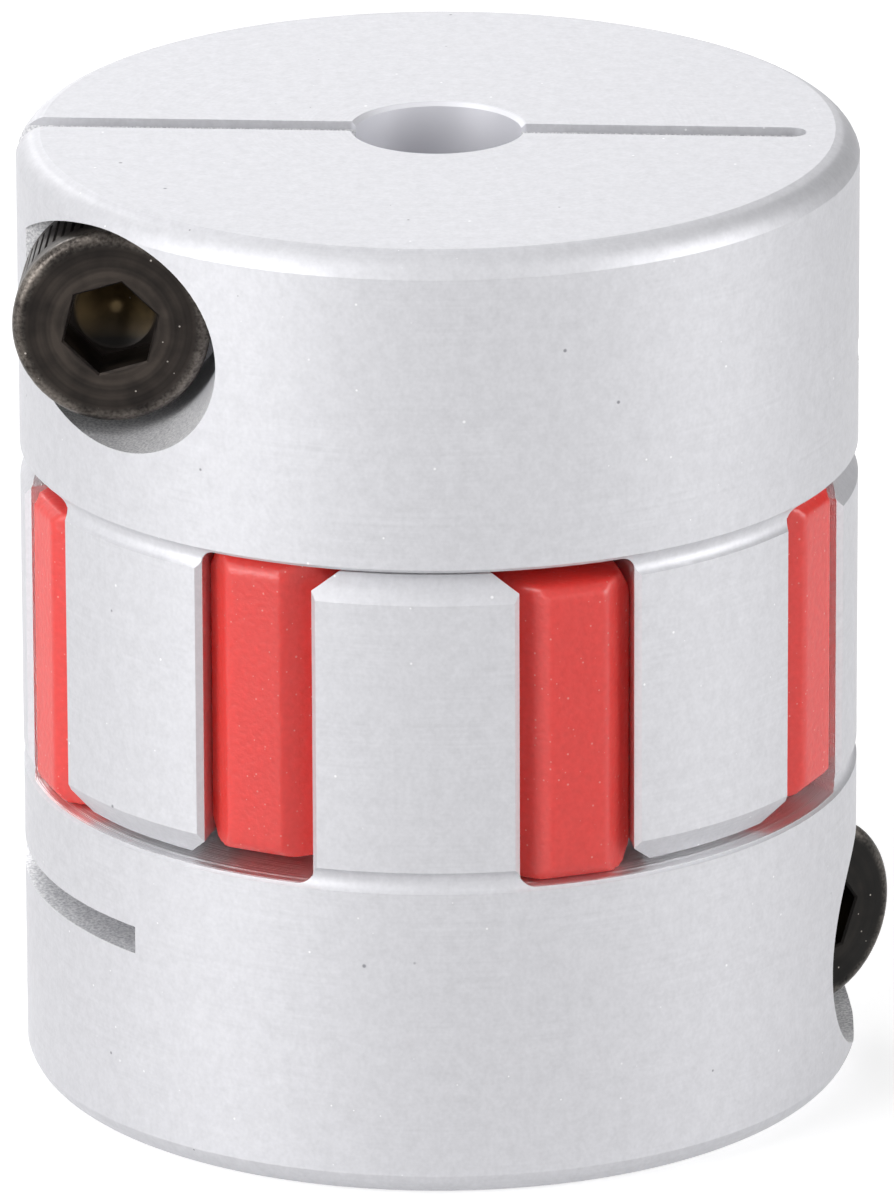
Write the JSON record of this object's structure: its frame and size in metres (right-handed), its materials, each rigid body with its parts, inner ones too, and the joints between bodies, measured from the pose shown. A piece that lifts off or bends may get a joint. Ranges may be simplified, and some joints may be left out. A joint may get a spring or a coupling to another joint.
{
  "type": "shaft coupling",
  "caption": "Elastic jaw coupling for joining two shafts end to end: slotted clamping hubs with interlocking jaws, a toothed elastomer spider between them and a clamp screw in each hub.",
  "frame": {"origin": "centre of the lower hub's end face, on the coupling's axis", "axes": "+Z along the coupling's axis towards the upper hub; the upper clamp screw's head faces -Y and the upper face slot runs along X"},
  "size_m": [0.031, 0.03, 0.035],
  "materials": {
    "hub_aluminium": "fine turned and lightly blasted, clear anodised",
    "spider_polyurethane": "cast red polyurethane, satin",
    "screw_black_steel": "black oxide, lightly oiled"
  },
  "bodies": {
    "root": {"lower_hub": "hub_aluminium", "upper_hub": "hub_aluminium", "spider": "spider_polyurethane", "lower_clamp_screw": "screw_black_steel", "upper_clamp_screw": "screw_black_steel"}
  },
  "joints": []
}
